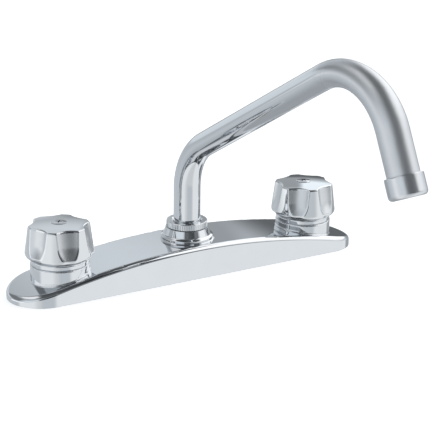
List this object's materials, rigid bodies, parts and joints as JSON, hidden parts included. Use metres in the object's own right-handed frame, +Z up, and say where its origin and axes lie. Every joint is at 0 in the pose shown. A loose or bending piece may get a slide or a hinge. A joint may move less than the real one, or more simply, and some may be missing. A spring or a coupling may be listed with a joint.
{
  "type": "two-handle kitchen faucet",
  "caption": "Chrome deck faucet: a long arched cover carries a fluted knob over each valve and a tall bent tube spout that swivels between them and ends in an aerator.",
  "frame": {"origin": "on the spout's turning axis, at the top of the sink ledge, midway between the two inlet shanks", "axes": "+X along the cover towards the cold valve, -Y towards the user, +Z up from the ledge"},
  "size_m": [0.28, 0.2573, 0.2365],
  "materials": {
    "cover_chrome": "polished chrome plate, lightly wiped",
    "trim_chrome": "polished chrome plate over turned brass",
    "knob_chrome": "polished chrome plate over a casting",
    "spout_chrome": "chrome plate over drawn tube, a little softer than the castings",
    "aerator_chrome": "polished chrome plate over turned brass",
    "screw_steel": "plated screw with a recessed head",
    "body_brass": "as cast, with machined faces",
    "turned_brass": "turned",
    "nut_brass": "turned and threaded",
    "copper": "drawn copper tube, brazed at both ends",
    "steel": "stainless steel",
    "black_rubber": "moulded",
    "gasket_foam": "closed cell sheet",
    "fibre": "pressed fibre",
    "white_plastic": "moulded"
  },
  "bodies": {
    "base": {"base_cover": "cover_chrome", "base_gasket": "gasket_foam", "spout_post": "body_brass", "spout_collar": "trim_chrome", "spout_nut": "trim_chrome", "slip_ring": "white_plastic", "deck_washers": "steel", "lock_nuts": "nut_brass", "valve_body_hot": "body_brass", "valve_body_cold": "body_brass", "cross_tube_hot": "copper", "cross_tube_cold": "copper", "valve_seat_hot": "steel", "valve_seat_cold": "steel", "escutcheon_hot": "trim_chrome", "escutcheon_cold": "trim_chrome", "bonnet_gasket_hot": "fibre", "bonnet_gasket_cold": "fibre", "bonnet_hot": "turned_brass", "bonnet_cold": "turned_brass"},
    "hot_knob": {"knob_hot": "knob_chrome", "handle_screw_hot": "screw_steel", "spindle_hot": "turned_brass", "spindle_seals_hot": "black_rubber", "spindle_clip_hot": "steel"},
    "cold_knob": {"knob_cold": "knob_chrome", "handle_screw_cold": "screw_steel", "spindle_cold": "turned_brass", "spindle_seals_cold": "black_rubber", "spindle_clip_cold": "steel"},
    "hot_plunger": {"plunger_hot": "turned_brass", "seat_washer_hot": "black_rubber", "seat_screw_hot": "screw_steel"},
    "cold_plunger": {"plunger_cold": "turned_brass", "seat_washer_cold": "black_rubber", "seat_screw_cold": "screw_steel"},
    "spout": {"spout_tube": "spout_chrome", "spout_sleeve": "turned_brass", "spout_seals": "black_rubber", "aerator_housing": "aerator_chrome", "aerator_cage": "white_plastic", "aerator_screen": "steel", "aerator_washer": "black_rubber"}
  },
  "joints": [
    {"name": "hot_knob_turn", "type": "hinge", "parent": "base", "child": "hot_knob", "pos_m": [-0.1016, 0, 0], "axis": [0, 0, 1], "range_deg": [0, 540]},
    {"name": "cold_knob_turn", "type": "hinge", "parent": "base", "child": "cold_knob", "pos_m": [0.1016, 0, 0], "axis": [0, 0, 1], "range_deg": [0, 540]},
    {"name": "hot_plunger_rise", "type": "slide", "parent": "base", "child": "hot_plunger", "axis": [0, 0, 1], "range_m": [0, 0.003]},
    {"name": "cold_plunger_rise", "type": "slide", "parent": "base", "child": "cold_plunger", "axis": [0, 0, 1], "range_m": [0, 0.003]},
    {"name": "spout_swivel", "type": "hinge", "parent": "base", "child": "spout", "pos_m": [0, 0, 0], "axis": [0, 0, 1], "continuous": true}
  ],
  "couplings": [
    {"joint": "hot_plunger_rise", "follows": "hot_knob_turn", "m_per_rad": 0.00031831},
    {"joint": "cold_plunger_rise", "follows": "cold_knob_turn", "m_per_rad": 0.00031831}
  ]
}
